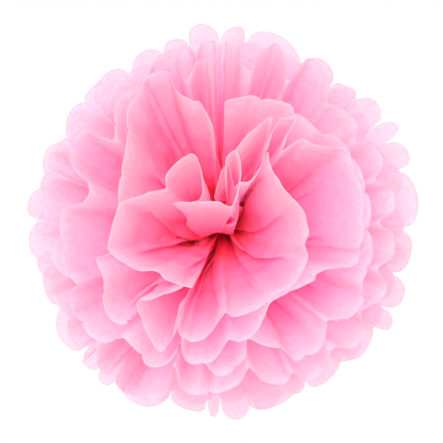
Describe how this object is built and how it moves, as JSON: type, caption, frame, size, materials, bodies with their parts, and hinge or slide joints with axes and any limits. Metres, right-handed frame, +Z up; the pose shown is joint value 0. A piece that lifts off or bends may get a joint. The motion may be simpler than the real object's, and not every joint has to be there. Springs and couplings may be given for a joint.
{
  "type": "tissue paper pom-pom ball",
  "caption": "Hanging ball of bound, fanned tissue sheets with scalloped rims, whose layers swing flat into the middle plane.",
  "frame": {"origin": "middle of the wire tie, which is the centre of the ball", "axes": "+Z up along the wire's stem to the hanging eye; +Y from the front pole of the ball to its back pole; +X along the folded strip, towards the right halves of the sheets"},
  "size_m": [0.2486, 0.2326, 0.2452],
  "materials": {
    "tissue_paper": "matte, translucent",
    "tie_wire": "satin"
  },
  "bodies": {
    "tie": {"wire_tie": "tie_wire", "front_sheet_1_middle": "tissue_paper", "front_sheet_2_middle": "tissue_paper", "front_sheet_3_middle": "tissue_paper", "front_sheet_4_middle": "tissue_paper", "front_sheet_5_middle": "tissue_paper", "back_sheet_1_middle": "tissue_paper", "back_sheet_2_middle": "tissue_paper", "back_sheet_3_middle": "tissue_paper", "back_sheet_4_middle": "tissue_paper", "back_sheet_5_middle": "tissue_paper"},
    "front_sheet_1_left_half": {"front_sheet_1_left": "tissue_paper"},
    "front_sheet_2_left_half": {"front_sheet_2_left": "tissue_paper"},
    "front_sheet_3_left_half": {"front_sheet_3_left": "tissue_paper"},
    "front_sheet_4_left_half": {"front_sheet_4_left": "tissue_paper"},
    "front_sheet_5_left_half": {"front_sheet_5_left": "tissue_paper"},
    "front_sheet_1_right_half": {"front_sheet_1_right": "tissue_paper"},
    "front_sheet_2_right_half": {"front_sheet_2_right": "tissue_paper"},
    "front_sheet_3_right_half": {"front_sheet_3_right": "tissue_paper"},
    "front_sheet_4_right_half": {"front_sheet_4_right": "tissue_paper"},
    "front_sheet_5_right_half": {"front_sheet_5_right": "tissue_paper"},
    "back_sheet_1_left_half": {"back_sheet_1_left": "tissue_paper"},
    "back_sheet_2_left_half": {"back_sheet_2_left": "tissue_paper"},
    "back_sheet_3_left_half": {"back_sheet_3_left": "tissue_paper"},
    "back_sheet_4_left_half": {"back_sheet_4_left": "tissue_paper"},
    "back_sheet_5_left_half": {"back_sheet_5_left": "tissue_paper"},
    "back_sheet_1_right_half": {"back_sheet_1_right": "tissue_paper"},
    "back_sheet_2_right_half": {"back_sheet_2_right": "tissue_paper"},
    "back_sheet_3_right_half": {"back_sheet_3_right": "tissue_paper"},
    "back_sheet_4_right_half": {"back_sheet_4_right": "tissue_paper"},
    "back_sheet_5_right_half": {"back_sheet_5_right": "tissue_paper"}
  },
  "joints": [
    {"name": "front_left_press_flat", "type": "hinge", "parent": "tie", "child": "front_sheet_1_left_half", "pos_m": [0, 0, 0], "axis": [0, 0, -1], "range_deg": [0, 51]},
    {"name": "front_left_sheet_2_swing", "type": "hinge", "parent": "tie", "child": "front_sheet_2_left_half", "pos_m": [0, 0, 0], "axis": [0, 0, -1], "range_deg": [0, 36.76]},
    {"name": "front_left_sheet_3_swing", "type": "hinge", "parent": "tie", "child": "front_sheet_3_left_half", "pos_m": [0, 0, 0], "axis": [0, 0, -1], "range_deg": [0, 25.51]},
    {"name": "front_left_sheet_4_swing", "type": "hinge", "parent": "tie", "child": "front_sheet_4_left_half", "pos_m": [0, 0, 0], "axis": [0, 0, -1], "range_deg": [0, 15.01]},
    {"name": "front_left_sheet_5_swing", "type": "hinge", "parent": "tie", "child": "front_sheet_5_left_half", "pos_m": [0, 0, 0], "axis": [0, 0, -1], "range_deg": [0, 4.51]},
    {"name": "front_right_press_flat", "type": "hinge", "parent": "tie", "child": "front_sheet_1_right_half", "pos_m": [0, 0, 0], "axis": [0, 0, 1], "range_deg": [0, 51]},
    {"name": "front_right_sheet_2_swing", "type": "hinge", "parent": "tie", "child": "front_sheet_2_right_half", "pos_m": [0, 0, 0], "axis": [0, 0, 1], "range_deg": [0, 36.76]},
    {"name": "front_right_sheet_3_swing", "type": "hinge", "parent": "tie", "child": "front_sheet_3_right_half", "pos_m": [0, 0, 0], "axis": [0, 0, 1], "range_deg": [0, 25.51]},
    {"name": "front_right_sheet_4_swing", "type": "hinge", "parent": "tie", "child": "front_sheet_4_right_half", "pos_m": [0, 0, 0], "axis": [0, 0, 1], "range_deg": [0, 15.01]},
    {"name": "front_right_sheet_5_swing", "type": "hinge", "parent": "tie", "child": "front_sheet_5_right_half", "pos_m": [0, 0, 0], "axis": [0, 0, 1], "range_deg": [0, 4.51]},
    {"name": "back_left_press_flat", "type": "hinge", "parent": "tie", "child": "back_sheet_1_left_half", "pos_m": [0, 0, 0], "axis": [0, 0, 1], "range_deg": [0, 51]},
    {"name": "back_left_sheet_2_swing", "type": "hinge", "parent": "tie", "child": "back_sheet_2_left_half", "pos_m": [0, 0, 0], "axis": [0, 0, 1], "range_deg": [0, 36.76]},
    {"name": "back_left_sheet_3_swing", "type": "hinge", "parent": "tie", "child": "back_sheet_3_left_half", "pos_m": [0, 0, 0], "axis": [0, 0, 1], "range_deg": [0, 25.51]},
    {"name": "back_left_sheet_4_swing", "type": "hinge", "parent": "tie", "child": "back_sheet_4_left_half", "pos_m": [0, 0, 0], "axis": [0, 0, 1], "range_deg": [0, 15.01]},
    {"name": "back_left_sheet_5_swing", "type": "hinge", "parent": "tie", "child": "back_sheet_5_left_half", "pos_m": [0, 0, 0], "axis": [0, 0, 1], "range_deg": [0, 4.51]},
    {"name": "back_right_press_flat", "type": "hinge", "parent": "tie", "child": "back_sheet_1_right_half", "pos_m": [0, 0, 0], "axis": [0, 0, -1], "range_deg": [0, 51]},
    {"name": "back_right_sheet_2_swing", "type": "hinge", "parent": "tie", "child": "back_sheet_2_right_half", "pos_m": [0, 0, 0], "axis": [0, 0, -1], "range_deg": [0, 36.76]},
    {"name": "back_right_sheet_3_swing", "type": "hinge", "parent": "tie", "child": "back_sheet_3_right_half", "pos_m": [0, 0, 0], "axis": [0, 0, -1], "range_deg": [0, 25.51]},
    {"name": "back_right_sheet_4_swing", "type": "hinge", "parent": "tie", "child": "back_sheet_4_right_half", "pos_m": [0, 0, 0], "axis": [0, 0, -1], "range_deg": [0, 15.01]},
    {"name": "back_right_sheet_5_swing", "type": "hinge", "parent": "tie", "child": "back_sheet_5_right_half", "pos_m": [0, 0, 0], "axis": [0, 0, -1], "range_deg": [0, 4.51]}
  ],
  "couplings": [
    {"joint": "front_left_sheet_2_swing", "follows": "front_left_press_flat", "ratio": 0.7206},
    {"joint": "front_left_sheet_3_swing", "follows": "front_left_press_flat", "ratio": 0.5},
    {"joint": "front_left_sheet_4_swing", "follows": "front_left_press_flat", "ratio": 0.2941},
    {"joint": "front_left_sheet_5_swing", "follows": "front_left_press_flat", "ratio": 0.0882},
    {"joint": "front_right_sheet_2_swing", "follows": "front_right_press_flat", "ratio": 0.7206},
    {"joint": "front_right_sheet_3_swing", "follows": "front_right_press_flat", "ratio": 0.5},
    {"joint": "front_right_sheet_4_swing", "follows": "front_right_press_flat", "ratio": 0.2941},
    {"joint": "front_right_sheet_5_swing", "follows": "front_right_press_flat", "ratio": 0.0882},
    {"joint": "back_left_sheet_2_swing", "follows": "back_left_press_flat", "ratio": 0.7206},
    {"joint": "back_left_sheet_3_swing", "follows": "back_left_press_flat", "ratio": 0.5},
    {"joint": "back_left_sheet_4_swing", "follows": "back_left_press_flat", "ratio": 0.2941},
    {"joint": "back_left_sheet_5_swing", "follows": "back_left_press_flat", "ratio": 0.0882},
    {"joint": "back_right_sheet_2_swing", "follows": "back_right_press_flat", "ratio": 0.7206},
    {"joint": "back_right_sheet_3_swing", "follows": "back_right_press_flat", "ratio": 0.5},
    {"joint": "back_right_sheet_4_swing", "follows": "back_right_press_flat", "ratio": 0.2941},
    {"joint": "back_right_sheet_5_swing", "follows": "back_right_press_flat", "ratio": 0.0882}
  ]
}
